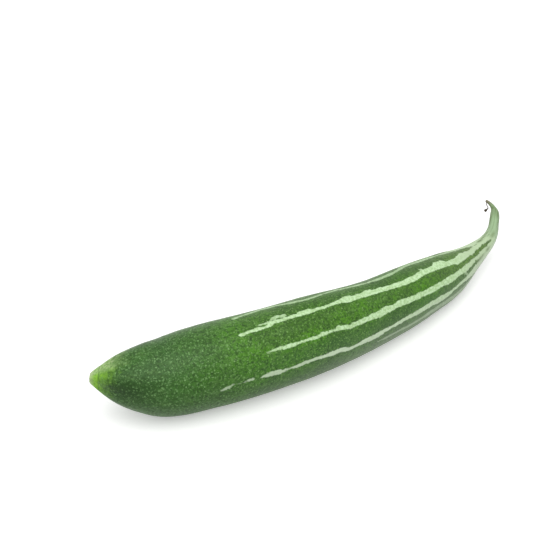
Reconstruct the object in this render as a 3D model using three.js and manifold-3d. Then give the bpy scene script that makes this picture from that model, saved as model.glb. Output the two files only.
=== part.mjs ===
// A snake gourd as picked, laid on a table. The fruit is a long bent taper that ends in a hooked
// beak. The cut stalk is the short ribbed stub that it hung by. The withered flower is a dry thread
// with a dark knob that still hangs from the beak. Units are millimetres and +Z is up. +X runs from
// the stalk to the blossom end, and the origin is the middle of the bounding box's underside.
import * as THREE from 'three';
import { mergeVertices } from 'three/addons/utils/BufferGeometryUtils.js';
import Module from 'manifold-3d';

const wasm = await Module();
wasm.setup();

// Driving dimensions.
const GOURD_LENGTH = 330; // along the bent middle line, from the cut face to the tip of the beak
const STALK_LENGTH = 4.5;
const CUT_EDGE = 0.4; // the worn corner round the cut face
const TOUCHING_GAP = 0.3; // left between two pieces that touch
const BELLY_FLAT = 0.35; // how deep the belly is pressed flat where it rests
const RIB_COUNT = 5; // ribs of the stalk, which fade out on the shoulder
const RIB_DEPTH = 0.1; // at the cut face, as a share of the radius
const RIB_TURN = -16; // degrees from the top of the stalk to the nearest rib's crest
const RIB_REACH = 0.1; // where the ribs have faded out, as a share of the length
const BEAK_CAP = 0.6; // how far the round end of the beak stands past the last section

// The bent middle line and the girth, at shares of the length from the cut face. heading is the
// direction of travel in plan, in degrees from +X. height is how high the middle line runs; where
// it is left out, the belly rests on the table and the middle is one radius above it.
const SECTIONS = [
  { at: 0.0, heading: -39, height: 25.0, radius: 2.4 },
  { at: 0.04, heading: -32, height: 24.0, radius: 12.2 },
  { at: 0.08, heading: -25, height: 22.4, radius: 17.9 },
  { at: 0.12, heading: -18, height: 20.8, radius: 20.7 },
  { at: 0.18, heading: -16, radius: 21.9 },
  { at: 0.27, heading: -11, radius: 21.9 },
  { at: 0.38, heading: -5, radius: 21.2 },
  { at: 0.5, heading: 1.4, radius: 18.8 },
  { at: 0.61, heading: 6.6, radius: 17.2 },
  { at: 0.71, heading: 9.8, height: 14.2, radius: 14.3 },
  { at: 0.79, heading: 12, height: 13.8, radius: 9.1 },
  { at: 0.86, heading: 16, height: 14.8, radius: 5.7 },
  { at: 0.92, heading: 35, height: 17.5, radius: 3.7 },
  { at: 0.96, heading: 42, height: 21.0, radius: 3.2 },
  { at: 0.98, heading: 68, height: 23.1, radius: 1.7 },
  { at: 1.0, heading: 110, height: 25.4, radius: 0.95 },
];

// The flower's thread leaves the beak's tip and hangs: offsets from the tip.
const THREAD_ROUTE = [
  new THREE.Vector3(0.1, 0.1, -1.55),
  new THREE.Vector3(0.3, -0.1, -2.4),
  new THREE.Vector3(0.9, -0.6, -4.0),
  new THREE.Vector3(1.5, -1.1, -5.4),
];
const THREAD_RADIUS = 0.3;
const BUD_REACH = new THREE.Vector3(-1.25, 1.0, -1.7); // from the thread's end to the knob
const BUD_ROD_RADIUS = 0.55;
const BUD_KNOB_RADIUS = 1.15;

// Fineness of the faceted solids.
const SIDES = 40;
const FRUIT_RINGS = 54;
const STALK_RINGS = 5;
const SPINE_STEPS = 400;

// A smooth curve through the sections: cubic pieces whose slope at a section is the slope from the
// section before it to the one after it.
function sectionValue(name, at) {
  const last = SECTIONS.length - 1;
  const value = (i) => {
    const section = SECTIONS[i];
    return section[name] ?? section.radius - BELLY_FLAT;
  };
  const slope = (i) => {
    const before = Math.max(i - 1, 0);
    const after = Math.min(i + 1, last);
    return (value(after) - value(before)) / (SECTIONS[after].at - SECTIONS[before].at);
  };
  let i = 0;
  while (i < last - 1 && at >= SECTIONS[i + 1].at) {
    i += 1;
  }
  const width = SECTIONS[i + 1].at - SECTIONS[i].at;
  const s = (at - SECTIONS[i].at) / width;
  return (
    (1 + 2 * s) * (1 - s) ** 2 * value(i) +
    s * (1 - s) ** 2 * width * slope(i) +
    s * s * (3 - 2 * s) * value(i + 1) +
    s * s * (s - 1) * width * slope(i + 1)
  );
}

// The middle line, walked in equal steps: each step turns to its heading and climbs to its height.
function walkSpine() {
  const place = new THREE.Vector3(0, 0, sectionValue('height', 0));
  const points = [place.clone()];
  for (let step = 1; step <= SPINE_STEPS; step += 1) {
    const heading = THREE.MathUtils.degToRad(sectionValue('heading', (step - 0.5) / SPINE_STEPS));
    const rise = sectionValue('height', step / SPINE_STEPS) - place.z;
    const run = Math.sqrt((GOURD_LENGTH / SPINE_STEPS) ** 2 - rise ** 2);
    place.x += run * Math.cos(heading);
    place.y += run * Math.sin(heading);
    place.z += rise;
    points.push(place.clone());
  }
  return new THREE.CatmullRomCurve3(points);
}

const spine = walkSpine();

// Ribs swell the radius in a wave round the stalk, and fade with the square of the way left to
// RIB_REACH.
function ribSwell(at, turn) {
  const left = Math.max(1 - at / RIB_REACH, 0);
  const wave = Math.cos(RIB_COUNT * (turn - THREE.MathUtils.degToRad(RIB_TURN)));
  return 1 + RIB_DEPTH * left ** 2 * wave;
}

// Merges shared corners and drops the faces that have shrunk to a line, as at a lathe's poles.
function closedSolid(geometry) {
  geometry.deleteAttribute('normal');
  geometry.deleteAttribute('uv');
  const merged = mergeVertices(geometry, 1e-4);
  const corners = merged.index.array;
  const faces = [];
  for (let i = 0; i < corners.length; i += 3) {
    const [a, b, c] = corners.slice(i, i + 3);
    if (a !== b && b !== c && c !== a) {
      faces.push(a, b, c);
    }
  }
  merged.setIndex(faces);
  return merged;
}

// Turns a closed geometry into a manifold solid, and back.
function toSolid(geometry) {
  const vertProperties = new Float32Array(geometry.attributes.position.array);
  const triVerts = new Uint32Array(geometry.index.array);
  return new wasm.Manifold(new wasm.Mesh({ numProp: 3, vertProperties, triVerts }));
}

function toGeometry(solid) {
  const mesh = solid.getMesh();
  const geometry = new THREE.BufferGeometry();
  geometry.setAttribute('position', new THREE.BufferAttribute(mesh.vertProperties, 3));
  geometry.setIndex(new THREE.BufferAttribute(mesh.triVerts, 1));
  return geometry;
}

// Lathes a profile of [radius, share of the length] points, and bends the turned shape along the
// spine: its axis follows the middle line, and its ribs swell.
function latheAlongSpine(profile) {
  const outline = profile.map(([radius, at]) => new THREE.Vector2(radius, at * GOURD_LENGTH));
  const geometry = closedSolid(new THREE.LatheGeometry(outline, SIDES));
  const position = geometry.attributes.position;
  const up = new THREE.Vector3(0, 0, 1);
  for (let i = 0; i < position.count; i += 1) {
    const at = THREE.MathUtils.clamp(position.getY(i) / GOURD_LENGTH, 0, 1);
    const past = position.getY(i) - at * GOURD_LENGTH;
    const swell = ribSwell(at, Math.atan2(position.getX(i), position.getZ(i)));
    const ahead = spine.getTangent(at);
    const side = new THREE.Vector3().crossVectors(ahead, up).normalize();
    const lift = new THREE.Vector3().crossVectors(side, ahead);
    const place = spine.getPoint(at);
    place.addScaledVector(ahead, past);
    place.addScaledVector(side, position.getX(i) * swell);
    place.addScaledVector(lift, position.getZ(i) * swell);
    position.setXYZ(i, place.x, place.y, place.z);
  }
  return geometry;
}

// The fruit, with rings that crowd together towards both ends, where it curls and tapers most. The
// table's plane cuts the belly flat.
function makeFruit() {
  const start = (STALK_LENGTH + TOUCHING_GAP) / GOURD_LENGTH;
  const profile = [[0, start]];
  for (let ring = 0; ring <= FRUIT_RINGS; ring += 1) {
    const even = ring / FRUIT_RINGS;
    const crowded = (1 - Math.cos(Math.PI * even)) / 2;
    const at = start + (1 - start) * (0.4 * even + 0.6 * crowded);
    profile.push([sectionValue('radius', at), at]);
  }
  profile.push([0, 1 + BEAK_CAP / GOURD_LENGTH]);
  const fruit = toSolid(latheAlongSpine(profile));
  const thickness = 10;
  const table = new THREE.BoxGeometry(4 * GOURD_LENGTH, 4 * GOURD_LENGTH, thickness);
  table.translate(0, 0, -thickness / 2);
  return toGeometry(fruit.subtract(toSolid(closedSolid(table))));
}

// The cut stalk: a ribbed stub with a worn edge round its flat cut face.
function makeStalk() {
  const edge = CUT_EDGE / GOURD_LENGTH;
  const end = STALK_LENGTH / GOURD_LENGTH;
  const profile = [
    [0, 0],
    [sectionValue('radius', 0) - CUT_EDGE, 0],
  ];
  for (let ring = 0; ring <= STALK_RINGS; ring += 1) {
    const at = edge + (end - edge) * (ring / STALK_RINGS);
    profile.push([sectionValue('radius', at), at]);
  }
  profile.push([0, end]);
  return latheAlongSpine(profile);
}

// The withered flower: a thread, a short rod set at an angle to it, and a knob at the rod's end.
function makeFlower() {
  const tip = spine.getPoint(1);
  const route = THREAD_ROUTE.map((offset) => offset.clone().add(tip));
  const section = new THREE.Shape();
  section.absarc(0, 0, THREAD_RADIUS, 0, 2 * Math.PI);
  const thread = new THREE.ExtrudeGeometry(section, {
    steps: 8,
    curveSegments: 4,
    extrudePath: new THREE.CatmullRomCurve3(route),
  });
  const rod = new THREE.CylinderGeometry(BUD_ROD_RADIUS, BUD_ROD_RADIUS, BUD_REACH.length(), 12);
  rod.translate(0, BUD_REACH.length() / 2, 0);
  const aim = new THREE.Quaternion();
  aim.setFromUnitVectors(new THREE.Vector3(0, 1, 0), BUD_REACH.clone().normalize());
  rod.applyQuaternion(aim);
  const threadEnd = route[route.length - 1];
  rod.translate(threadEnd.x, threadEnd.y, threadEnd.z);
  const knob = new THREE.SphereGeometry(BUD_KNOB_RADIUS, 12, 8);
  const knobPlace = threadEnd.clone().add(BUD_REACH);
  knob.translate(knobPlace.x, knobPlace.y, knobPlace.z);
  const pieces = [thread, rod, knob].map((geometry) => toSolid(closedSolid(geometry)));
  return toGeometry(pieces[0].add(pieces[1]).add(pieces[2]));
}

function namedMesh(name, geometry, material) {
  geometry.computeVertexNormals();
  const mesh = new THREE.Mesh(geometry, new THREE.MeshStandardMaterial(material));
  mesh.name = name;
  return mesh;
}

const group = new THREE.Group();
group.add(
  namedMesh('gourd_fruit', makeFruit(), { color: 0x466e35, roughness: 0.45, metalness: 0 }),
  namedMesh('cut_stalk', makeStalk(), { color: 0x8fb552, roughness: 0.6, metalness: 0 }),
  namedMesh('withered_flower', makeFlower(), { color: 0x3b352b, roughness: 0.85, metalness: 0 }),
);

// The origin goes to the middle of the bounding box's underside.
const box = new THREE.Box3().setFromObject(group);
const middle = box.getCenter(new THREE.Vector3());
group.position.set(-middle.x, -middle.y, -box.min.z);

export default group;
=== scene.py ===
import math

import bpy
import numpy as np
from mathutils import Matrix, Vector


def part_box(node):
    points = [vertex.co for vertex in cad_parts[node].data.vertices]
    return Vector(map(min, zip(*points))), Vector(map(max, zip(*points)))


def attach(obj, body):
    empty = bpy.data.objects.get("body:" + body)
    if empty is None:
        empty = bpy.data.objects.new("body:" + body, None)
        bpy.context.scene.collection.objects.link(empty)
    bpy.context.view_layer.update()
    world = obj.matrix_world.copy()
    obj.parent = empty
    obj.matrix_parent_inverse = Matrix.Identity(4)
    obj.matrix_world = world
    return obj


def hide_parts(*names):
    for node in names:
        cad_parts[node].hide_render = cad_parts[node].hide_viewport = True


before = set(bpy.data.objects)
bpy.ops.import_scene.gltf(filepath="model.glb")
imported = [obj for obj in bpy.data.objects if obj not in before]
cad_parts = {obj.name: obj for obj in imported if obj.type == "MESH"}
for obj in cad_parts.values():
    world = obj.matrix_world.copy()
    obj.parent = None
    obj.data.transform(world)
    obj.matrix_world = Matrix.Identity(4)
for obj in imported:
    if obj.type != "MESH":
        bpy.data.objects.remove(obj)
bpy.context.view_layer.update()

# ------------------------------------------------------------------------------------------------
# The fruit
# A gourd is one grown body: firm flesh under a thin waxy skin. It is thickest behind the stalk and
# thins out into a hooked beak, and it bends because one side of it grew faster than the other.

MM = 0.001
GOURD_LENGTH = 330 * MM  # along the bent middle line, from the cut face to the tip of the beak
STALK_LENGTH = 4.5 * MM
FRUIT_START = STALK_LENGTH / GOURD_LENGTH  # where the fruit takes over from the stalk
BELLY_FLAT = 0.35 * MM  # how deep the belly is pressed flat where it lies on the table
RIB_COUNT = 5  # ribs that run from the stalk onto the shoulder
RIB_DEPTH = 0.1  # at the cut face, as a share of the radius
RIB_TURN = math.radians(-16)  # from the top of the stalk to the nearest rib's crest
RIB_REACH = 0.1  # where the ribs have faded out, as a share of the length
BEAK_CAP = 0.6 * MM  # how far the round end of the beak stands past the last section
SKIN_INSET = 0.06 * MM  # how far the finest skin stays inside the solid everywhere

# The sections of the bent body: the share of its length, the heading in plan in degrees from +X,
# the height of the middle line and the radius. A height of 0 stands for a belly on the table.
SECTIONS = np.array([
    (0, -39, 25, 2.4), (0.04, -32, 24, 12.2), (0.08, -25, 22.4, 17.9), (0.12, -18, 20.8, 20.7),
    (0.18, -16, 0, 21.9), (0.27, -11, 0, 21.9), (0.38, -5, 0, 21.2), (0.5, 1.4, 0, 18.8),
    (0.61, 6.6, 0, 17.2), (0.71, 9.8, 14.2, 14.3), (0.79, 12, 13.8, 9.1), (0.86, 16, 14.8, 5.7),
    (0.92, 35, 17.5, 3.7), (0.96, 42, 21, 3.2), (0.98, 68, 23.1, 1.7), (1, 110, 25.4, 0.95),
])
SECTION_AT, SECTION_HEADING = SECTIONS[:, 0], SECTIONS[:, 1]
SECTION_RADIUS = SECTIONS[:, 3] * MM
SECTION_HEIGHT = np.where(SECTIONS[:, 2] > 0, SECTIONS[:, 2] * MM, SECTION_RADIUS - BELLY_FLAT)


def through_sections(values, at):
    """A smooth curve through one value of the sections: cubic pieces, whose slope at a section is
    the slope from the section before it to the one after it."""
    last = len(SECTION_AT) - 1
    before = np.maximum(np.arange(last + 1) - 1, 0)
    after = np.minimum(np.arange(last + 1) + 1, last)
    slope = (values[after] - values[before]) / (SECTION_AT[after] - SECTION_AT[before])
    i = np.clip(np.searchsorted(SECTION_AT, at, side="right") - 1, 0, last - 1)
    width = SECTION_AT[i + 1] - SECTION_AT[i]
    s = (at - SECTION_AT[i]) / width
    start = (1 + 2 * s) * (1 - s) ** 2 * values[i] + s * (1 - s) ** 2 * width * slope[i]
    end = s**2 * (3 - 2 * s) * values[i + 1] + s**2 * (s - 1) * width * slope[i + 1]
    return start + end


def middle_line(steps=400):
    """The middle line's points and its frame at each: ahead, side and lift. Each equal step turns
    to its heading and climbs to its height, and its run in plan is what is left of its length."""
    at = np.arange(steps + 1) / steps
    height = through_sections(SECTION_HEIGHT, at)
    heading = np.radians(through_sections(SECTION_HEADING, (at[1:] + at[:-1]) / 2))
    run = np.sqrt((GOURD_LENGTH / steps) ** 2 - np.diff(height) ** 2)
    x = np.concatenate([[0], np.cumsum(run * np.cos(heading))])
    y = np.concatenate([[0], np.cumsum(run * np.sin(heading))])
    points = np.stack([x, y, height], axis=-1)
    ahead = np.gradient(points, axis=0)
    ahead /= np.linalg.norm(ahead, axis=1, keepdims=True)
    side = np.cross(ahead, [0, 0, 1])
    side /= np.linalg.norm(side, axis=1, keepdims=True)
    return at, points, ahead, side, np.cross(side, ahead)


LINE_AT, LINE_POINTS, LINE_AHEAD, LINE_SIDE, LINE_LIFT = middle_line()


def on_line(vectors, at):
    """The middle line's points or directions at shares of the length, by straight interpolation."""
    return np.stack([np.interp(at, LINE_AT, vectors[:, k]) for k in range(3)], axis=-1)


def rib_swell(at, turn):
    """Ribs swell the radius in a wave round the stalk, and fade with the square of the way left."""
    left = np.maximum(1 - at / RIB_REACH, 0)
    return 1 + RIB_DEPTH * left**2 * np.cos(RIB_COUNT * (turn - RIB_TURN))


def body_points(at, turn, radius):
    """Points of the bent body before it is set down: from the middle line, outwards by the radius
    at a turn about it. Turn 0 is the crest, and a positive turn goes down the front."""
    reach = (radius * rib_swell(at, turn))[..., None]
    upwards = np.cos(turn)[..., None] * on_line(LINE_LIFT, at)
    sideways = np.sin(turn)[..., None] * on_line(LINE_SIDE, at)
    return on_line(LINE_POINTS, at) + reach * (upwards + sideways)


def body_shift():
    """How far the walked body moves in plan so that it fills the box of the fruit's solid."""
    shares = np.linspace(FRUIT_START, 1, 300)
    at, turn = np.meshgrid(shares, np.linspace(-np.pi, np.pi, 120))
    points = body_points(at, turn, through_sections(SECTION_RADIUS, at)).reshape(-1, 3)
    points = np.concatenate([points, [LINE_POINTS[-1] + BEAK_CAP * LINE_AHEAD[-1]]])
    low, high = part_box("gourd_fruit")
    shift = (np.array(low) + np.array(high)) / 2 - (points.min(0) + points.max(0)) / 2
    return np.array([shift[0], shift[1], 0])


BODY_SHIFT = body_shift()


def rolling(along, around, rows, columns, seed):
    """Smooth noise from -1 to 1 on the unrolled skin: seeded heights on a grid of rows by columns
    that closes round the fruit, blended between neighbours with an S-curve."""
    heights = np.random.default_rng(seed).uniform(-1, 1, (rows + 2, columns))
    r = np.clip(along, 0, 1) * rows
    c = np.mod(around, 1) * columns
    i, j = r.astype(int), c.astype(int) % columns
    u, v = r - i, c - np.floor(c)
    u, v = u * u * (3 - 2 * u), v * v * (3 - 2 * v)
    k = (j + 1) % columns
    near = heights[i, j] * (1 - v) + heights[i, k] * v
    far = heights[i + 1, j] * (1 - v) + heights[i + 1, k] * v
    return near * (1 - u) + far * u


def ease(value, low, high):
    """0 below low, 1 above high, and an S-curve between."""
    s = np.clip((value - low) / (high - low), 0, 1)
    return s * s * (3 - 2 * s)


BROAD_SWELL = 0.16 * MM  # half the depth between the broad swellings
FINE_SWELL = 0.06 * MM
FURROW_DEPTH = 0.028  # half the depth of the beak's furrows, as a share of the radius
FULL_SWELL_RADIUS = 15 * MM  # where the body is thinner than this, its swellings are shallower
FURROWS_FROM = (0.74, 0.88)  # the shares of the length between which the furrows deepen
BELLY_TURNS = (2.3, 2.8)  # how far round the swellings fade out, in radians from the crest
BELLY_ENDS = (0.6, 0.75)  # the shares of the length between which the belly leaves the table


def skin_dents(at, turn):
    """How far the skin lies inside the smooth body: broad swellings a thumb apart, finer ones a
    finger's width apart, and furrows that run along the beak. None where the belly lies flat."""
    around = turn / (2 * np.pi)
    broad = BROAD_SWELL * (1 - rolling(at, around, 14, 5, seed=3))
    fine = FINE_SWELL * (1 - rolling(at, around, 60, 18, seed=7))
    furrow = FURROW_DEPTH * ease(at, *FURROWS_FROM) * (1 - rolling(at, around, 5, 12, seed=11))
    radius = through_sections(SECTION_RADIUS, at)
    off_belly = 1 - ease(np.abs(turn), *BELLY_TURNS) * (1 - ease(at, *BELLY_ENDS))
    thin = np.minimum(radius / FULL_SWELL_RADIUS, 1)
    return SKIN_INSET + off_belly * ((broad + fine) * thin + furrow * radius)


# The pale stripes: each is how clear it is, from 0 to 1, and then a list of (share of the length,
# upper edge, lower edge), with the edges in degrees of turn from the crest.
STRIPES = [
    # along the crest
    (0.7, [
        (0.228, -13, -13), (0.232, -15, -9), (0.25, -19, -13), (0.285, -27, -19), (0.31, -26, -18),
        (0.33, -19, -12), (0.365, -13, -7), (0.4, -17, -12), (0.43, -21, -14), (0.465, -16, -10),
        (0.5, -15, -8), (0.545, -15, -5), (0.56, -15, -7), (0.59, -21, -12), (0.605, -24, -13),
        (0.635, -21, -8), (0.65, -21, -10), (0.69, -18, -10), (0.715, -19, -6), (0.735, -23, -5),
    ]),
    # its broad end on the tail
    (1, [
        (0.725, -17, -7), (0.735, -25, -6), (0.75, -45, -7), (0.77, -48, -8), (0.78, -49, -5),
        (0.79, -50, -1), (0.803, -52, 6), (0.87, -60, 6),
    ]),
    # a faint spur above it
    (0.4, [(0.585, -24, -22), (0.61, -40, -25), (0.67, -44, -20), (0.69, -36, -34)]),
    # the first down the front
    (1, [
        (0.223, 23.5, 23.5), (0.227, 21.5, 26.5), (0.25, 19.5, 24.5), (0.274, 19.5, 23.5),
        (0.277, 14, 23.5), (0.286, 14, 20), (0.327, 14.5, 20), (0.33, 12, 20), (0.342, 11.5, 21),
        (0.35, 12, 20.5), (0.356, 15, 20), (0.39, 14, 20), (0.407, 12, 19), (0.417, 9, 21.5),
        (0.433, 8.5, 21), (0.436, 11, 21), (0.453, 11.5, 21), (0.463, 9, 22), (0.479, 9, 22),
        (0.482, 12.5, 22.5), (0.5, 12.5, 23.5), (0.52, 14.5, 25), (0.55, 17.5, 28), (0.585, 17, 30),
        (0.6, 15, 27), (0.64, 14, 28), (0.65, 8.5, 29), (0.672, 9, 31), (0.68, 17, 32),
        (0.695, 18, 33), (0.705, 19, 37.5), (0.725, 15, 38), (0.74, 12, 36.5), (0.763, 10.5, 35),
        (0.77, 16, 35), (0.782, 16, 35), (0.79, 9.5, 31), (0.8, 5, 29.5), (0.81, 5, 28.5),
        (0.82, 5, 30), (0.83, 5, 28.5), (0.862, 5, 28), (0.867, 5, 42),
    ]),
    # a chip above it
    (0.8, [(0.604, 10, 10.5), (0.606, 10, 16), (0.61, 10, 16), (0.612, 10, 10.5)]),
    # a short branch before it
    (0.9, [(0.254, 16, 16), (0.258, 15, 17.5), (0.27, 13.5, 17.5), (0.277, 13.5, 18)]),
    # a second branch
    (0.8, [
        (0.282, 10, 13.5), (0.29, 7, 13.5), (0.297, 7, 12.5), (0.308, 7.5, 13.5), (0.31, 8.5, 13.5),
    ]),
    # the second down the front
    (1, [
        (0.252, 58, 58), (0.257, 55.5, 58.5), (0.274, 53.5, 57.5), (0.291, 54, 59),
        (0.322, 54, 57.5), (0.34, 54.5, 59), (0.351, 53, 58.5), (0.376, 53.5, 57.5),
        (0.379, 50, 58), (0.384, 50, 58), (0.387, 52.5, 59), (0.403, 54, 61.5), (0.45, 51.5, 60),
        (0.467, 50, 62), (0.486, 48, 59.5), (0.491, 50, 59.5), (0.52, 48, 58.5), (0.53, 50, 60),
        (0.56, 51, 61.5), (0.6, 53, 64), (0.64, 52, 64.5), (0.66, 50.5, 66), (0.7, 50, 62.5),
        (0.715, 48.5, 65), (0.74, 49, 64), (0.753, 47.5, 65), (0.765, 49, 62), (0.775, 49, 61),
        (0.787, 49, 65), (0.8, 49, 67), (0.862, 52, 68), (0.867, 41, 68),
    ]),
    # a thin link below it
    (0.5, [(0.705, 66, 67), (0.715, 66, 70), (0.722, 67, 75), (0.728, 74, 76)]),
    # a dot before it
    (0.7, [(0.204, 54, 56), (0.209, 54, 56)]),
    # the third down the front: a dash
    (0.6, [(0.177, 92, 92), (0.182, 90, 93.5), (0.197, 86, 89.5), (0.202, 86, 88.5)]),
    # a faint dash
    (0.4, [(0.205, 86.5, 88.5), (0.219, 85.8, 88.3)]),
    # a short dash
    (0.65, [(0.22, 86, 88), (0.222, 85, 88.5), (0.23, 85, 88.8), (0.233, 87, 87)]),
    # its thin start
    (0.82, [
        (0.239, 88, 88), (0.243, 85.5, 89.5), (0.252, 84, 90.5), (0.274, 83.5, 91.5),
        (0.276, 85.5, 90), (0.3, 85.5, 90), (0.315, 83.5, 89), (0.337, 84, 89),
    ]),
    # its main run
    (0.95, [
        (0.335, 84, 89), (0.35, 84, 91), (0.38, 83.5, 91.5), (0.402, 89, 95), (0.432, 85.5, 94.5),
        (0.471, 84, 93.5), (0.473, 84, 90), (0.5, 82, 89.5), (0.52, 80.5, 88), (0.55, 80, 90),
        (0.6, 78.5, 90), (0.613, 78, 93), (0.65, 80.5, 91), (0.67, 79.5, 87), (0.71, 75, 85.5),
        (0.73, 76, 89), (0.745, 73, 93), (0.765, 70, 98), (0.773, 73, 99), (0.785, 71, 100),
        (0.795, 65, 101), (0.87, 64, 104),
    ]),
    # the fourth, faint, low on the flank
    (0.45, [
        (0.46, 103, 106), (0.505, 101.5, 107), (0.56, 102, 110), (0.62, 97, 110), (0.68, 99, 116),
        (0.74, 96, 124), (0.8, 104, 130), (0.87, 104, 135),
    ]),
]

# Where the dark bands break up on the tail: (share, turn, reach along, reach round, strength) of
# each soft smudge that they leave, with the turns in degrees.
SMUDGES = [
    (0.785, 6, 0.012, 6, 0.6), (0.838, -2, 0.012, 8, 1), (0.856, -11, 0.012, 9, 1),
    (0.878, -24, 0.014, 11, 0.9), (0.9, -44, 0.016, 16, 0.7), (0.836, 66, 0.009, 7, 1),
    (0.795, 70, 0.018, 6, 0.8), (0.88, 30, 0.014, 14, 0.6), (0.94, -50, 0.024, 16, 1),
    (0.974, -45, 0.006, 40, 1), (0.966, 8, 0.008, 12, 0.8), (0.952, 34, 0.012, 14, 0.8),
    (0.925, 42, 0.016, 12, 0.5),
]

# The stripes of the far side and the belly: the turn of the middle in degrees, the share of the
# length where it starts, and the width in degrees.
FAR_STRIPES = [
    (136, 0.29, 8), (160, 0.24, 9), (-172, 0.32, 7), (-144, 0.25, 9), (-113, 0.35, 10),
    (-82, 0.23, 7), (-54, 0.31, 9),
]
FAR_CLEARNESS = 0.95
FAR_NARROW = 0.35  # their width at the start, as a share of the full width
FAR_END = 0.88  # the share of the length where the far stripes end in the pale beak
FAR_FULL = 0.66  # where they are at their full width
FAR_SWELL = 0.35  # how much wider or narrower they get from step to step, as a share of the width
FAR_WANDER = 1.2  # how far they turn aside at each step, in degrees
FAR_STEPS = 30


def far_stripe(middle, start, width, seed):
    """A stripe of the far side or the belly: it starts as a point, widens to its width by two
    thirds of the length, and wanders and swells a little by seeded steps."""
    random = np.random.default_rng(seed)
    shares = np.linspace(start, FAR_END, FAR_STEPS)
    swell = random.uniform(1 - FAR_SWELL, 1 + FAR_SWELL, shares.size)
    grown = width * (FAR_NARROW + (1 - FAR_NARROW) * ease(shares, start, FAR_FULL)) * swell
    grown[0] = 0
    wander = middle + np.cumsum(random.uniform(-FAR_WANDER, FAR_WANDER, shares.size))
    return FAR_CLEARNESS, list(zip(shares, wander - grown / 2, wander + grown / 2))


STRIPE_END_FALL = 1.5  # how fast the depth falls off past a stripe's ends, per millimetre
RUNS_ON = 0.8  # a stripe that is listed past this share of the length runs on into the beak
NEAR_NONE = -9.0  # the depth of a point that is near no stripe
FAR_SEED = 40  # of the first far stripe


def stripe_depth(at, turn, radius):
    """How far a point of the skin lies inside the nearest stripe, in millimetres, and how clear
    that stripe is. The depth is the way to the nearer of its two edges, and negative outside. Past
    a stripe's ends it falls off quickly."""
    far = [far_stripe(*stripe, seed=FAR_SEED + i) for i, stripe in enumerate(FAR_STRIPES)]
    deepest = np.full(at.shape, NEAR_NONE)
    clearness = np.zeros(at.shape)
    for clear, route in STRIPES + far:
        share, upper, lower = np.array(route, float).T
        high = np.interp(at, share, np.radians(upper))
        low = np.interp(at, share, np.radians(lower))
        middle = (high + low) / 2
        off = np.abs(np.mod(turn - middle + np.pi, 2 * np.pi) - np.pi)
        depth = ((low - high) / 2 - off) * radius / MM
        past = np.maximum(share[0] - at, 0)
        if share[-1] < RUNS_ON:
            past += np.maximum(at - share[-1], 0)
        depth -= past * GOURD_LENGTH / MM * STRIPE_END_FALL
        clearness = np.where(depth > deepest, clear, clearness)
        deepest = np.maximum(deepest, depth)
    return deepest, clearness


def smudge_strength(at, turn):
    """The strongest smudge at a point of the skin: each fades as a bell curve both ways."""
    strongest = np.zeros(at.shape)
    for share, middle, along, across, strength in SMUDGES:
        off = (at - share) / along
        aside = (np.degrees(turn) - middle) / across
        strongest = np.maximum(strongest, strength * np.exp(-(off**2) - aside**2))
    return strongest


def grid_mesh(name, rings, start_cap, end_cap):
    """A closed mesh from rings of points: rings is an array of ring by side by 3, each ring joins
    the next with quads that face outwards, and a fan of triangles to a point closes each end."""
    ring_count, side_count = rings.shape[:2]
    index = np.arange(ring_count * side_count).reshape(ring_count, side_count)
    beside = np.roll(index, -1, axis=1)
    quads = np.stack([index[:-1], beside[:-1], beside[1:], index[1:]], axis=-1).reshape(-1, 4)
    first, last = ring_count * side_count, ring_count * side_count + 1
    start_fan = np.stack([beside[0], index[0], np.full(side_count, first)], axis=-1)
    end_fan = np.stack([index[-1], beside[-1], np.full(side_count, last)], axis=-1)
    mesh = bpy.data.meshes.new(name)
    points = np.concatenate([rings.reshape(-1, 3), [start_cap], [end_cap]])
    mesh.from_pydata(points.tolist(), [], quads.tolist() + start_fan.tolist() + end_fan.tolist())
    mesh.update()
    mesh.shade_smooth()
    return mesh


def add_attribute(mesh, name, values):
    """Stores one number or one vector for each point of a mesh, for its material to read."""
    values = np.asarray(values, np.float32)
    kind, field = ("FLOAT_VECTOR", "vector") if values.ndim == 2 else ("FLOAT", "value")
    mesh.attributes.new(name, kind, "POINT").data.foreach_set(field, values.ravel())


def unrolled(at, turn, radius):
    """Where a point would be on the straightened body, in metres: along its length, and round its
    middle. A pattern on it follows the bend, and has no seam."""
    return np.stack([at * GOURD_LENGTH, radius * np.cos(turn), radius * np.sin(turn)], axis=-1)


FRUIT_RINGS = 500
FRUIT_SIDES = 180
CAP_RINGS = 6  # round the end of the beak
RING_CROWDING = 0.12  # how far rings move on towards the beak, as a share of the length
CREST_LEAN = math.radians(5)  # how far the skin's colours are turned back from the crest
# The dark patch beside the neck is painted shade.
NOSE_SHADE_TURN = 80  # the middle of the dark patch beside the neck, in degrees from the crest
NOSE_SHADE_REACH = 27
NOSE_SHADE_FROM = (0.018, 0.034)  # the shares of the length between which it darkens
NOSE_SHADE_TO = (0.05, 0.11)  # and between which it fades


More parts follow.
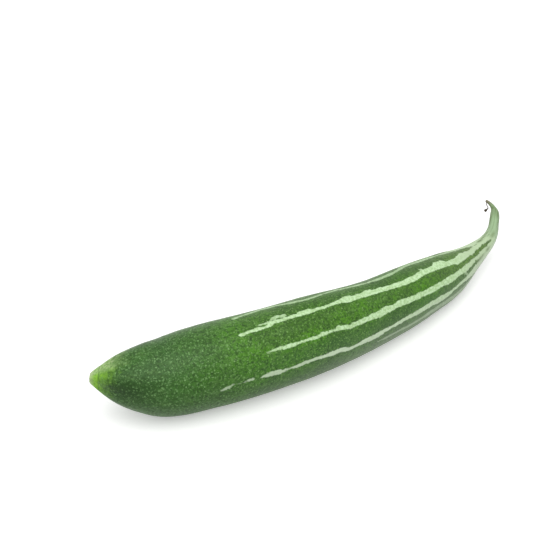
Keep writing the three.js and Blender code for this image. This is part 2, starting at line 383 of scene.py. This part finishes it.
def make_fruit():
    """The skin as a grid of shares of the length by turns, with rings that crowd towards the beak
    and round off its end, laid on the table, which presses the belly flat."""
    even = np.linspace(0, 1, FRUIT_RINGS)
    crowded = even + RING_CROWDING * np.sin(np.pi * even) ** 2 * (1 - even)
    share = FRUIT_START + (1 - FRUIT_START) * crowded
    round_end = np.linspace(0, np.pi / 2, CAP_RINGS, endpoint=False)[1:]
    share = np.concatenate([share, np.ones(round_end.size)])
    shrink = np.concatenate([np.ones(FRUIT_RINGS), np.cos(round_end)])[:, None]
    end_cap = BEAK_CAP - SKIN_INSET
    past = np.concatenate([np.zeros(FRUIT_RINGS), end_cap * np.sin(round_end)])[:, None, None]
    turns = np.linspace(-np.pi, np.pi, FRUIT_SIDES, endpoint=False)
    at, turn = np.meshgrid(share, turns, indexing="ij")
    radius = shrink * (through_sections(SECTION_RADIUS, at) - skin_dents(at, turn))
    rings = body_points(at, turn, radius) + past * on_line(LINE_AHEAD, at) + BODY_SHIFT
    rings[..., 2] = np.maximum(rings[..., 2], 0)
    stalk_end = rings[0].mean(0)
    beak_end = LINE_POINTS[-1] + end_cap * LINE_AHEAD[-1] + BODY_SHIFT
    mesh = grid_mesh("gourd_skin", rings, stalk_end, beak_end)
    all_at = np.concatenate([at.ravel(), [FRUIT_START, 1]])
    all_turn = np.concatenate([turn.ravel(), [0, 0]])
    all_radius = through_sections(SECTION_RADIUS, all_at)
    depth, clearness = stripe_depth(all_at, all_turn, all_radius)
    # Where the painted shade beside the neck lies: round the flank, just behind the neck.
    flank = np.exp(-(((np.degrees(all_turn) - NOSE_SHADE_TURN) / NOSE_SHADE_REACH) ** 2))
    behind_neck = ease(all_at, *NOSE_SHADE_FROM) * (1 - ease(all_at, *NOSE_SHADE_TO))
    add_attribute(mesh, "stripe_depth", depth)
    add_attribute(mesh, "stripe_clearness", clearness)
    add_attribute(mesh, "smudge", smudge_strength(all_at, all_turn))
    add_attribute(mesh, "top", np.cos(all_turn + CREST_LEAN))
    add_attribute(mesh, "nose_shade", flank * behind_neck)
    add_attribute(mesh, "share", all_at)
    add_attribute(mesh, "furrow", rolling(all_at, all_turn / (2 * np.pi), 5, 22, seed=13))
    add_attribute(mesh, "unrolled", unrolled(all_at, all_turn, all_radius))
    return mesh


def add_object(name, data):
    """A new object at the origin, in the scene."""
    thing = bpy.data.objects.new(name, data)
    bpy.context.scene.collection.objects.link(thing)
    return thing


def sheet_colour(red, green, blue):
    """A shader colour from the three numbers, 0 to 255, that it has on a screen."""
    screen = np.array([red, green, blue]) / 255
    linear = np.where(screen <= 0.04045, screen / 12.92, ((screen + 0.055) / 1.055) ** 2.4)
    return (*linear.tolist(), 1.0)


class Finish:
    """A new material, with a short method for each kind of node that the gourd's finishes use. An
    argument may be a number, a colour or another node's output."""

    def __init__(self, name):
        self.material = bpy.data.materials.new(name)
        self.material.use_nodes = True
        self.tree = self.material.node_tree
        self.shader = self.tree.nodes["Principled BSDF"]

    def feed(self, socket, value):
        """Links another node's output to a socket, or sets the socket to a value."""
        if isinstance(value, bpy.types.NodeSocket):
            self.tree.links.new(value, socket)
        else:
            socket.default_value = value

    def attribute(self, name, output="Fac"):
        """What the mesh says of itself at each point, under a name."""
        node = self.tree.nodes.new("ShaderNodeAttribute")
        node.attribute_name = name
        return node.outputs[output]

    def stretched(self, place, scale):
        """The places times a scale along each axis: a pattern on them grows where that is small."""
        node = self.tree.nodes.new("ShaderNodeVectorMath")
        node.operation = "MULTIPLY"
        self.feed(node.inputs[0], place)
        node.inputs[1].default_value = scale
        return node.outputs[0]

    def noise(self, place, size, detail=2.0, roughness=0.5):
        """Smooth noise from 0 to 1, with bumps about a size apart and finer ones on them."""
        node = self.tree.nodes.new("ShaderNodeTexNoise")
        self.feed(node.inputs["Vector"], place)
        node.inputs["Scale"].default_value = 1 / size
        node.inputs["Detail"].default_value = detail
        node.inputs["Roughness"].default_value = roughness
        return node.outputs["Fac"]

    def bent(self, place, size, reach):
        """The places pushed about by a seeded noise, by up to half of a reach each way."""
        noise = self.tree.nodes.new("ShaderNodeTexNoise")
        self.feed(noise.inputs["Vector"], place)
        noise.inputs["Scale"].default_value = 1 / size
        noise.inputs["Detail"].default_value = 1.0
        push = self.tree.nodes.new("ShaderNodeVectorMath")
        push.operation = "MULTIPLY_ADD"
        self.feed(push.inputs[0], noise.outputs["Color"])
        push.inputs[1].default_value = (reach, reach, reach)
        self.feed(push.inputs[2], place)
        return push.outputs[0]

    def cells(self, place, size):
        """The way to the nearest of seeded points about a size apart, and a shade that each has."""
        node = self.tree.nodes.new("ShaderNodeTexVoronoi")
        self.feed(node.inputs["Vector"], place)
        node.inputs["Scale"].default_value = 1 / size
        parts = self.tree.nodes.new("ShaderNodeSeparateColor")
        self.tree.links.new(node.outputs["Color"], parts.inputs["Color"])
        return node.outputs["Distance"], parts.outputs["Red"]

    def maths(self, operation, a, b):
        """One operation on two numbers."""
        node = self.tree.nodes.new("ShaderNodeMath")
        node.operation = operation
        self.feed(node.inputs[0], a)
        self.feed(node.inputs[1], b)
        return node.outputs[0]

    def times(self, a, b):
        return self.maths("MULTIPLY", a, b)

    def plus(self, a, b):
        return self.maths("ADD", a, b)

    def minus(self, a, b):
        return self.maths("SUBTRACT", a, b)

    def larger(self, a, b):
        return self.maths("MAXIMUM", a, b)

    def swing(self, noise, reach):
        """A noise set about 0, so that it swings by up to half of a reach each way."""
        return self.times(self.minus(noise, 0.5), reach)

    def ease(self, value, low, high, from_value=0.0, to_value=1.0):
        """From one value below low to another above high, with an S-curve between."""
        node = self.tree.nodes.new("ShaderNodeMapRange")
        node.interpolation_type = "SMOOTHSTEP"
        self.feed(node.inputs["Value"], value)
        node.inputs["From Min"].default_value = low
        node.inputs["From Max"].default_value = high
        node.inputs["To Min"].default_value = from_value
        node.inputs["To Max"].default_value = to_value
        return node.outputs["Result"]

    def blend(self, share, a, b):
        """One colour at a share of 0, another at 1, and mixed in proportion between."""
        node = self.tree.nodes.new("ShaderNodeMix")
        node.data_type = "RGBA"
        self.feed(node.inputs[0], share)
        self.feed(node.inputs[6], a)
        self.feed(node.inputs[7], b)
        return node.outputs[2]

    def bump(self, height, depth, strength, under=None):
        """A surface tilted as if it rose by a depth times the height, on top of another's tilt."""
        node = self.tree.nodes.new("ShaderNodeBump")
        node.inputs["Strength"].default_value = strength
        node.inputs["Distance"].default_value = depth
        self.feed(node.inputs["Height"], height)
        if under is not None:
            self.feed(node.inputs["Normal"], under)
        return node.outputs["Normal"]

    def set(self, **sockets):
        """Feeds the shader's sockets, with _ for a space in a name, and gives the material."""
        for name, value in sockets.items():
            self.feed(self.shader.inputs[name.replace("_", " ")], value)
        return self.material


# The sizes of the skin's patterns, and how they are drawn out along the fruit.
PATCH_SIZE = 22 * MM
STREAK_SIZE = 3.5 * MM
STREAK_STRETCH = (0.35, 1, 1)
MOTTLE_SIZE = 1.5 * MM
SPECK_SIZE = 1.5 * MM
SMALL_SPECK_SIZE = 0.8 * MM
WORM_SIZE = 1.1 * MM  # of the crooked pale lines that join the specks
BEND_SIZE = 1.6 * MM  # of the noise that pushes the specks out of their roundness
BEND_REACH = 1.1 * MM
PIT_SIZE = 1.3 * MM
LUMP_SIZE = 2.6 * MM  # of the lumps and nicks in the stripes' edges
LUMP_STRETCH = (0.6, 1, 1)
NICK_SIZE = 1.0 * MM
GRAIN_SIZE = 0.8 * MM
GRAIN_HEIGHT = 0.08 * MM
SPECK_HEIGHT = 0.12 * MM
STREAK_HEIGHT = 0.2 * MM

# Its colours.
GREEN = sheet_colour(74, 122, 32)
BRIGHT_GREEN = sheet_colour(80, 140, 16)
DEEP_GREEN = sheet_colour(42, 78, 20)
# Painted shade along the crest.
CREST_PAINTED_SHADE = sheet_colour(40, 84, 4)
# Painted shade, greyer, down the flank.
FLANK_PAINTED_SHADE = sheet_colour(62, 100, 54)
SHOULDER_GREEN = sheet_colour(54, 96, 40)
TAIL_GREEN = sheet_colour(96, 134, 46)
PIT_GREEN = sheet_colour(28, 60, 12)
# Painted shade beside the neck.
NOSE_PAINTED_SHADE = sheet_colour(24, 58, 4)
SPECK = sheet_colour(120, 166, 86)
SPECK_BLUISH = sheet_colour(118, 162, 100)
# Partly the skin's paler underside, partly a painted reflection of the white table below.
BELLY_PALE_AND_REFLECTION = sheet_colour(146, 166, 134)
STALK_GREEN = sheet_colour(136, 192, 56)
# Painted highlight along the top of the stalk and neck.
STALK_PAINTED_HIGHLIGHT = sheet_colour(172, 202, 138)
# The pale of the cut, and of the painted glints along the neck's top.
CUT_PALE_AND_GLINT = sheet_colour(196, 208, 164)
STRIPE_PALE = sheet_colour(209, 241, 192)
STRIPE_DULL = sheet_colour(178, 213, 153)
# Painted light: the stripes whiter down the flank.
STRIPE_FLANK_PAINTED_LIGHT = sheet_colour(232, 248, 220)
TAIL_STRIPE = sheet_colour(192, 216, 173)
BEAK_PALE = sheet_colour(162, 192, 148)
BEAK_OLIVE = sheet_colour(112, 136, 88)
# The tail's dark band, and painted shade down the beak's sides.
BEAK_DARK_AND_SHADE = sheet_colour(98, 122, 74)
BEAK_BROWN = sheet_colour(128, 124, 100)


class SkinFinish(Finish):
    """The skin's finish. Each method lays one kind of mark over the colour under it, which it takes
    and gives back. All of them read the same place, share of the length, level and noises."""

    def __init__(self):
        super().__init__("gourd_skin")
        self.place = self.attribute("unrolled", "Vector")
        self.share = self.attribute("share")
        self.top = self.attribute("top")  # 1 along the crest, 0 half-way down and -1 at the belly
        self.nose_shade = self.attribute("nose_shade")
        drawn_out = self.stretched(self.place, STREAK_STRETCH)
        self.streaks = self.noise(drawn_out, STREAK_SIZE, detail=4, roughness=0.6)
        self.mottle = self.noise(self.place, MOTTLE_SIZE, detail=3, roughness=0.65)
        self.bent_place = self.bent(self.place, BEND_SIZE, BEND_REACH)
        self.worms = self.noise(self.bent_place, WORM_SIZE, detail=2, roughness=0.6)
        self.cell, self.cell_shade = self.cells(self.bent_place, SPECK_SIZE)
        self.shoulder = self.ease(self.share, 0.1, 0.3, 0.85, 0)

    def ground(self):
        """Patches of three greens, which turn bluish on the shoulder and olive on the tail."""
        patches = self.noise(self.place, PATCH_SIZE, detail=4)
        green = self.blend(self.ease(patches, 0.42, 0.6), GREEN, BRIGHT_GREEN)
        green = self.blend(self.ease(patches, 0.3, 0.48, 0.5, 0), green, DEEP_GREEN)
        green = self.blend(self.shoulder, green, SHOULDER_GREEN)
        green = self.blend(self.ease(self.share, 0.56, 0.82), green, TAIL_GREEN)
        green = self.blend(self.ease(self.share, 0.78, 0.86, 0, 0.6), green, BEAK_DARK_AND_SHADE)
        green = self.blend(self.ease(self.mottle, 0.4, 0.62, 0, 0.8), green, DEEP_GREEN)
        return self.blend(self.ease(self.streaks, 0.5, 0.8, 0, 0.3), green, SPECK)

    def shaded(self, green):
        """Painted shade: deeper along the crest, greyer down the flank and dark beside the neck.
        Paler on the belly, partly the skin's own paler underside and partly a painted reflection of
        the white table.
        """
        # Painted shade along the crest, fading from the middle of the fruit towards the tail.
        crest = self.times(self.ease(self.top, 0.85, 1, 0, 0.6), self.ease(self.share, 0.2, 0.35))
        crest = self.times(crest, self.ease(self.share, 0.52, 0.68, 1, 0.3))
        green = self.blend(crest, green, CREST_PAINTED_SHADE)
        # Painted shade: greyer down the flank.
        flank = self.times(self.ease(self.top, 0.2, 0.6, 0.45, 0), self.ease(self.share, 0.15, 0.3))
        green = self.blend(flank, green, FLANK_PAINTED_SHADE)
        # Paler on the belly: partly the skin's paler underside, partly a painted reflection of the
        # table.
        belly = self.ease(self.top, -0.5, 0.25, 0.5, 0)
        belly = self.times(belly, self.ease(self.share, 0.25, 0.55))
        green = self.blend(belly, green, BELLY_PALE_AND_REFLECTION)
        # Painted shade beside the neck.
        return self.blend(self.nose_shade, green, NOSE_PAINTED_SHADE)

    def speckled(self, green):
        """Round pale specks of two sizes, joined by pale crooked lines, and dark pits. All of them
        are densest near the stalk."""
        density = self.ease(self.share, 0.35, 0.75, 1, 0.25)
        # Fewer specks show in the painted shade beside the neck.
        density = self.minus(density, self.times(self.nose_shade, 0.5))
        shade = self.ease(self.cell_shade, 0.1, 0.9, 0.1, 1)
        specks = self.times(self.ease(self.cell, 0.12, 0.42, 1, 0), shade)
        small_cell, small_shade = self.cells(self.bent_place, SMALL_SPECK_SIZE)
        small_shade = self.ease(small_shade, 0.3, 1, 0, 0.6)
        small_specks = self.times(self.ease(small_cell, 0.2, 0.45, 1, 0), small_shade)
        specks = self.larger(specks, small_specks)
        specks = self.larger(specks, self.ease(self.worms, 0.56, 0.68, 0, 0.6))
        speck = self.blend(self.shoulder, SPECK, SPECK_BLUISH)
        green = self.blend(self.times(specks, density), green, speck)
        pits = self.noise(self.place, PIT_SIZE, detail=2, roughness=0.6)
        pits = self.times(self.ease(pits, 0.54, 0.68, 0, 0.65), density)
        return self.blend(pits, green, PIT_GREEN)

    def necked(self, green):
        """The stalk's yellow-green, with a painted highlight and painted pale glints along its top,
        which breaks up on its way along the neck.
        """
        way = self.plus(self.share, self.swing(self.streaks, 0.04))
        way = self.plus(way, self.swing(self.mottle, 0.03))
        way = self.minus(way, self.ease(self.top, 0.7, 0.95, 0, 0.012))
        way = self.plus(way, self.ease(self.top, 0.25, 0.7, 0.009, 0))
        # Painted highlight: paler along the top.
        neck = self.blend(self.ease(self.top, 0.7, 0.97, 0, 0.75), STALK_GREEN, STALK_PAINTED_HIGHLIGHT)
        neck = self.blend(self.ease(self.mottle, 0.35, 0.65, 0, 0.5), neck, GREEN)
        # Painted glints along the top of the neck.
        painted_glints = self.times(self.ease(self.worms, 0.52, 0.62), self.ease(self.top, 0.8, 1, 0, 0.5))
        neck = self.blend(painted_glints, neck, CUT_PALE_AND_GLINT)
        return self.blend(self.ease(way, 0.003, 0.05, 1, 0), green, neck)

    def striped(self, green):
        """The stripes. Noise makes their edges ragged by adding to how deep a point lies inside
        them, the more so on the tail, where they also widen."""
        feathered = self.ease(self.share, 0.68, 0.84, 1, 1.8)
        drawn_out = self.stretched(self.place, LUMP_STRETCH)
        lumps = self.noise(drawn_out, LUMP_SIZE, detail=3, roughness=0.6)
        nicks = self.noise(self.place, NICK_SIZE, detail=2)
        ragged = self.attribute("stripe_depth")
        ragged = self.plus(ragged, self.times(self.swing(lumps, 2.2), feathered))
        ragged = self.plus(ragged, self.swing(nicks, 0.8))
        ragged = self.minus(ragged, self.ease(self.share, 0.74, 0.82, 0.08, -0.2))
        within = self.times(self.ease(ragged, -0.28, 0.36), self.attribute("stripe_clearness"))
        pale = self.blend(self.ease(self.mottle, 0.38, 0.62), STRIPE_PALE, STRIPE_DULL)
        pale = self.blend(self.ease(self.share, 0.65, 0.8), pale, TAIL_STRIPE)
        # Painted light: the stripes paler and whiter down the flank.
        flank = self.ease(self.top, -0.1, 0.4, 0.72, 0)
        flank = self.times(flank, self.ease(self.share, 0.45, 0.7, 1, 0.5))
        pale = self.blend(flank, pale, STRIPE_FLANK_PAINTED_LIGHT)
        return self.blend(within, green, pale)

    def beaked(self, colour):
        """The pale beak, with olive in its furrows and in its smudges, painted shade down its
        sides, and brown at its dry tip."""
        furrow = self.ease(self.attribute("furrow"), -0.5, 0.1, 0.45, 0)
        beak = self.blend(furrow, BEAK_PALE, BEAK_OLIVE)
        # Painted shade down the beak's sides.
        sides = self.ease(self.top, 0.25, 0.85, 0.8, 0)
        sides = self.times(self.ease(self.share, 0.885, 0.925), sides)
        beak = self.blend(sides, beak, BEAK_DARK_AND_SHADE)
        way = self.plus(self.share, self.swing(self.streaks, 0.08))
        colour = self.blend(self.ease(way, 0.85, 0.905), colour, beak)
        smudge = self.times(self.attribute("smudge"), self.ease(self.streaks, 0.3, 0.6, 0.6, 1.2))
        colour = self.blend(smudge, colour, BEAK_OLIVE)
        colour = self.blend(self.ease(self.share, 0.93, 0.96, 0, 0.5), colour, BEAK_OLIVE)
        return self.blend(self.ease(self.share, 0.98, 0.998), colour, BEAK_BROWN)

    def relief(self):
        """A fine grain, with a low bump at each speck and shallow streaks along the fruit."""
        grain = self.bump(self.noise(self.place, GRAIN_SIZE, detail=2), GRAIN_HEIGHT, 0.6)
        pebbled = self.bump(self.ease(self.cell, 0.1, 0.6, 1, 0), SPECK_HEIGHT, 0.6, under=grain)
        return self.bump(self.streaks, STREAK_HEIGHT, 0.35, under=pebbled)


def make_skin_finish():
    """Thin waxy skin: green, bluish on the shoulder and clear in the middle, with fine pale specks,
    a yellow-green neck, ragged pale stripes and a pale beak."""
    f = SkinFinish()
    green = f.necked(f.speckled(f.shaded(f.ground())))
    colour = f.beaked(f.striped(green))
    rough = f.ease(f.mottle, 0.3, 0.7, 0.36, 0.5)
    return f.set(
        Base_Color=colour, Roughness=rough, Normal=f.relief(), IOR=1.42, Specular_IOR_Level=0.32
    )


fruit = add_object("gourd_skin", make_fruit())
fruit.data.materials.append(make_skin_finish())
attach(fruit, "root")
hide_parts("gourd_fruit")

# ------------------------------------------------------------------------------------------------
# The cut stalk
# The stub of the stem that the fruit hung by: a short ribbed cylinder of tough green tissue, cut
# straight across. Its cut face has a pale rim and has dried and sunk a little in the middle.

STALK_RINGS = 30
STALK_SIDES = 120
STUB_INSET = 0.05 * MM  # how far the stub stays inside its solid everywhere
CUT_EDGE = 0.5 * MM  # the worn corner round the cut face
CORNER_RINGS = 6
CUT_SINK = 0.5 * MM  # how far the middle of the cut face has sunk
SUNK_PART = 0.35  # of the cut face's radius that has sunk in full
FIRST_RING = 0.08  # as a share of the cut face's radius
GRAIN_DEPTH = 0.06 * MM  # half the depth of the grain along the stub
GRAIN_SPREAD = 40  # spreads the stub's short share of the length over the grain's noise
GRAIN_RADII = (2 * MM, 3 * MM)  # the radii between which the grain deepens


def make_stalk():
    """The stub as a grid: rings across the cut face from its middle to its edge, round the worn
    corner, and then along the ribbed side to where the fruit's skin begins. A fine grain, deeper
    where the stub is thicker, runs along the side."""
    turns = np.linspace(-np.pi, np.pi, STALK_SIDES, endpoint=False)
    end_radius = through_sections(SECTION_RADIUS, np.array([0.0]))[0]
    across = np.linspace(FIRST_RING, 1, STALK_RINGS)
    corner = np.linspace(0, np.pi / 2, CORNER_RINGS + 1)[1:]
    side = np.linspace(0, 1, STALK_RINGS)[1:]
    face_radius = (end_radius - CUT_EDGE) * across
    corner_radius = end_radius - CUT_EDGE + CUT_EDGE * np.sin(corner)
    face_in = CUT_SINK * (1 - ease(across, SUNK_PART, 1))
    corner_in = CUT_EDGE * (1 - np.cos(corner))
    side_in = CUT_EDGE + (STALK_LENGTH - CUT_EDGE) * side
    side_radius = through_sections(SECTION_RADIUS, side_in / GOURD_LENGTH)
    at = np.concatenate([face_in, corner_in, side_in]) / GOURD_LENGTH
    radius = np.concatenate([face_radius, corner_radius, side_radius])
    at, turn = np.meshgrid(at, turns, indexing="ij")
    radius = np.repeat(radius[:, None], STALK_SIDES, axis=1)
    grain = GRAIN_DEPTH * (1 - rolling(at * GRAIN_SPREAD, turn / (2 * np.pi), 3, 26, seed=21))
    grain = grain * ease(radius, *GRAIN_RADII)
    rings = body_points(at, turn, radius - STUB_INSET - grain) + BODY_SHIFT
    mesh = grid_mesh("stalk_stub", rings, rings[0].mean(0), rings[-1].mean(0))
    whole_at = np.concatenate([at.ravel(), [at[0, 0], at[-1, 0]]])
    whole_turn = np.concatenate([turn.ravel(), [0, 0]])
    whole_radius = np.concatenate([radius.ravel(), [0, 0]])
    on_face = np.zeros(at.shape)
    on_face[: STALK_RINGS + CORNER_RINGS // 2] = 1
    add_attribute(mesh, "cut_face", np.concatenate([on_face.ravel(), [1, 0]]))
    add_attribute(mesh, "out", whole_radius / end_radius)
    add_attribute(mesh, "top", np.cos(whole_turn + CREST_LEAN))
    add_attribute(mesh, "share", whole_at)
    add_attribute(mesh, "unrolled", unrolled(whole_at, whole_turn, whole_radius))
    return mesh


CUT_DRY = sheet_colour(150, 146, 98)
LINE_SIZE = 0.8 * MM  # of the darker lines along the side
LINE_STRETCH = (0.2, 1, 1)
LINE_HEIGHT = 0.2 * MM
FIBRE_SIZE = 0.5 * MM
FIBRE_HEIGHT = 0.12 * MM


def make_stalk_finish():
    """Yellow-green ribbed side with darker lines along it and a painted highlight along its top,
    and a pale cut face that has dried towards its middle."""
    f = Finish("stalk_green")
    place = f.attribute("unrolled", "Vector")
    lines = f.noise(f.stretched(place, LINE_STRETCH), LINE_SIZE, detail=2)
    # Painted highlight: the side is paler along its top.
    side = f.blend(f.ease(f.attribute("top"), 0.7, 0.97, 0, 0.8), STALK_GREEN, STALK_PAINTED_HIGHLIGHT)
    side = f.blend(f.ease(lines, 0.4, 0.7, 0, 0.5), side, GREEN)
    side = f.blend(f.ease(f.attribute("share"), 0, 0.01, 0.6, 0), side, CUT_PALE_AND_GLINT)
    fibres = f.noise(place, FIBRE_SIZE, detail=3)
    face = f.blend(f.ease(f.attribute("out"), 0.35, 0.85), CUT_DRY, CUT_PALE_AND_GLINT)
    face = f.blend(f.ease(fibres, 0.45, 0.7, 0, 0.4), face, CUT_DRY)
    colour = f.blend(f.attribute("cut_face"), side, face)
    normal = f.bump(lines, LINE_HEIGHT, 0.6, under=f.bump(fibres, FIBRE_HEIGHT, 0.5))
    return f.set(Base_Color=colour, Roughness=0.6, Normal=normal, IOR=1.45)


stalk = add_object("stalk_stub", make_stalk())
stalk.data.materials.append(make_stalk_finish())
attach(stalk, "root")
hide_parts("cut_stalk")

# ------------------------------------------------------------------------------------------------
# The withered flower
# What is left of the blossom: a thread as dry as hay that hangs from the tip of the beak, with the
# shrivelled bud set at an angle at its end.

# The thread's route, from the middle line's end, and the bud's way on from the thread's end.
THREAD_ROUTE = MM * np.array([
    (0.1, 0.1, -1.05), (0.3, -0.1, -2.4), (0.9, -0.6, -4.0), (1.5, -1.1, -5.4),
])
BUD_REACH = np.array([-1.25, 1.0, -1.7]) * MM  # to the middle of the knob
BUD_LENGTH = 1.35  # of the bud with its whole knob, where 1 is at the knob's middle
THREAD_RADIUS = 0.3 * MM
BUD_RADIUS = 0.5 * MM
KNOB_RADIUS = 1.1 * MM
LAST_RADIUS = 0.05 * MM  # of the ring that closes the knob
FLOWER_RINGS = 90
FLOWER_SIDES = 24
WRINKLE_DEPTH = 0.12  # half the depth of the wrinkles, as a share of the radius
NEVER_ALONG = (0.3, 0.9, 0.1)  # a direction that the route never takes
WRINKLE_SIZE = 0.8 * MM
WRINKLE_HEIGHT = 0.15 * MM
FLOWER_DARK = sheet_colour(52, 46, 36)
FLOWER_BROWN = sheet_colour(100, 88, 66)


def tube_rings(route, radius, sides, seed):
    """Rings round a route: each lies across the way from the point before to the point after, with
    a radius that a seeded noise wrinkles."""
    ahead = np.gradient(route, axis=0)
    ahead /= np.linalg.norm(ahead, axis=1, keepdims=True)
    side = np.cross(ahead, NEVER_ALONG)
    side /= np.linalg.norm(side, axis=1, keepdims=True)
    lift = np.cross(side, ahead)
    turns = np.linspace(0, 2 * np.pi, sides, endpoint=False)
    along, turn = np.meshgrid(np.linspace(0, 1, len(route)), turns, indexing="ij")
    wrinkles = rolling(along, turn / (2 * np.pi), 24, 7, seed)
    wrinkled = radius[:, None] * (1 - WRINKLE_DEPTH + WRINKLE_DEPTH * wrinkles)
    across = np.cos(turn)[..., None] * lift[:, None] + np.sin(turn)[..., None] * side[:, None]
    return route[:, None] + wrinkled[..., None] * across


def make_flower():
    """One tube that runs down the thread and on through the bud to the knob. Its radius is the
    thread's, swells to the bud's past the bend, and then follows the knob's circle."""
    tip = on_line(LINE_POINTS, np.array([1.0]))[0] + BODY_SHIFT
    corners = np.concatenate([THREAD_ROUTE, [THREAD_ROUTE[-1] + BUD_REACH * BUD_LENGTH]]) + tip
    steps = np.concatenate([[0], np.cumsum(np.linalg.norm(np.diff(corners, axis=0), axis=1))])
    way = np.linspace(0, steps[-1], FLOWER_RINGS)
    route = np.stack([np.interp(way, steps, corners[:, k]) for k in range(3)], axis=-1)
    past_bend = (way - steps[-2]) / (steps[-1] - steps[-2])
    radius = THREAD_RADIUS + (BUD_RADIUS - THREAD_RADIUS) * ease(past_bend, 0.0, 0.2)
    knob_at = np.linalg.norm(BUD_REACH) * (past_bend * BUD_LENGTH - 1)
    knob = np.sqrt(np.maximum(KNOB_RADIUS**2 - knob_at**2, 0))
    radius = np.maximum(np.where(knob_at > 0, LAST_RADIUS, radius), knob)
    rings = tube_rings(route, radius, FLOWER_SIDES, seed=31)
    return grid_mesh("dry_flower", rings, rings[0].mean(0), rings[-1].mean(0))


def make_flower_finish():
    """Dry tissue, mottled in two browns, with fine wrinkles."""
    f = Finish("dry_flower")
    coordinates = f.tree.nodes.new("ShaderNodeTexCoord").outputs["Object"]
    wrinkles = f.noise(coordinates, WRINKLE_SIZE, detail=3)
    colour = f.blend(f.ease(wrinkles, 0.35, 0.65), FLOWER_DARK, FLOWER_BROWN)
    return f.set(Base_Color=colour, Roughness=0.85, Normal=f.bump(wrinkles, WRINKLE_HEIGHT, 0.8))


flower = add_object("dry_flower", make_flower())
flower.data.materials.append(make_flower_finish())
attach(flower, "root")
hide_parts("withered_flower")

# ------------------------------------------------------------------------------------------------
# The table
# A plain white surface, large enough to fill every view. To the eye and in reflections it has a
# little glow of its own, so it is white but for the gourd's soft shadow.

TABLE_HALF = 6.0  # half of its width, in metres
TABLE_GLOW = 0.35  # what the eye sees on top of its lit surface, where 1 is white
TABLE_SEEN = (0.95, 0.95, 0.95, 1)
TABLE_BOUNCE = (0.5, 0.5, 0.5, 1)  # what it throws back onto the gourd


def seen_share(tree):
    """1 for what the eye sees, straight on, in a reflection or through glass, and 0 for light on
    its way to the gourd: the largest of the light path's three shares."""
    path = tree.nodes.new("ShaderNodeLightPath")
    largest = path.outputs["Is Camera Ray"]
    for kind in ("Is Glossy Ray", "Is Transmission Ray"):
        node = tree.nodes.new("ShaderNodeMath")
        node.operation = "MAXIMUM"
        tree.links.new(largest, node.inputs[0])
        tree.links.new(path.outputs[kind], node.inputs[1])
        largest = node.outputs[0]
    return largest


def make_table():
    """One square at the height of the gourd's belly."""
    mesh = bpy.data.meshes.new("table")
    h = TABLE_HALF
    mesh.from_pydata([(-h, -h, 0), (h, -h, 0), (h, h, 0), (-h, h, 0)], [], [(0, 1, 2, 3)])
    return mesh


def make_table_finish():
    """Matt white, with a glow added that only the eye sees."""
    f = Finish("table_white")
    nodes, links = f.tree.nodes, f.tree.links
    seen = seen_share(f.tree)
    f.set(Base_Color=f.blend(seen, TABLE_BOUNCE, TABLE_SEEN), Roughness=1.0, Specular_IOR_Level=0.0)
    glow = nodes.new("ShaderNodeEmission")
    links.new(f.times(seen, TABLE_GLOW), glow.inputs["Strength"])
    both = nodes.new("ShaderNodeAddShader")
    links.new(f.shader.outputs[0], both.inputs[0])
    links.new(glow.outputs[0], both.inputs[1])
    links.new(both.outputs[0], nodes["Material Output"].inputs["Surface"])
    return f.material


table = add_object("table", make_table())
table.data.materials.append(make_table_finish())

# ------------------------------------------------------------------------------------------------
# Light and camera
# A white room lights the gourd from all round, one wide soft lamp from above, and the camera looks
# down at it from the front.

ROOM_LEVEL = 0.45  # how strong its light on the gourd is, where 1 is white
LAMP_LEVEL = 1.87
LAMP_WIDTH = math.radians(70)
LAMP_PLACE = np.array([-0.34, -0.34, 1.0])  # only its direction from the middle counts
CAMERA_AZIMUTH = math.radians(-39)
CAMERA_ELEVATION = math.radians(30)
CAMERA_DISTANCE = 638.1 * MM
CAMERA_LENS = 66.67  # in millimetres, as is the width of the sensor behind it
CAMERA_SENSOR = 36
AIM = BODY_SHIFT + np.array([163.9, 60.4, 0]) * MM  # the point of the table in the view's middle


def look_at(thing, place, target):
    """Puts a lamp or camera at a place, turned so that it looks at a target with its top up."""
    thing.location = place.tolist()
    thing.rotation_euler = Vector((target - place).tolist()).to_track_quat("-Z", "Y").to_euler()


def make_room():
    """The world: white where the eye or a reflection meets it, and softer as light on the gourd."""
    room = bpy.data.worlds.new("white_room")
    room.use_nodes = True
    tree = room.node_tree
    level = tree.nodes.new("ShaderNodeMapRange")
    tree.links.new(seen_share(tree), level.inputs["Value"])
    level.inputs["To Min"].default_value = ROOM_LEVEL
    level.inputs["To Max"].default_value = 1.0
    background = tree.nodes["Background"]
    background.inputs["Color"].default_value = (1, 1, 1, 1)
    tree.links.new(level.outputs["Result"], background.inputs["Strength"])
    return room


bpy.context.scene.world = make_room()

lamp_data = bpy.data.lights.new("soft_lamp", "SUN")
lamp_data.angle = LAMP_WIDTH
lamp_data.energy = LAMP_LEVEL
lamp = add_object("soft_lamp", lamp_data)
look_at(lamp, LAMP_PLACE, np.zeros(3))

camera_data = bpy.data.cameras.new("camera")
camera_data.lens = CAMERA_LENS
camera_data.sensor_width = CAMERA_SENSOR
camera = add_object("camera", camera_data)
back = np.array([
    math.sin(CAMERA_AZIMUTH) * math.cos(CAMERA_ELEVATION),
    -math.cos(CAMERA_AZIMUTH) * math.cos(CAMERA_ELEVATION),
    math.sin(CAMERA_ELEVATION),
])
look_at(camera, AIM + back * CAMERA_DISTANCE, AIM)
bpy.context.scene.camera = camera
bpy.context.scene.view_settings.view_transform = "Standard"
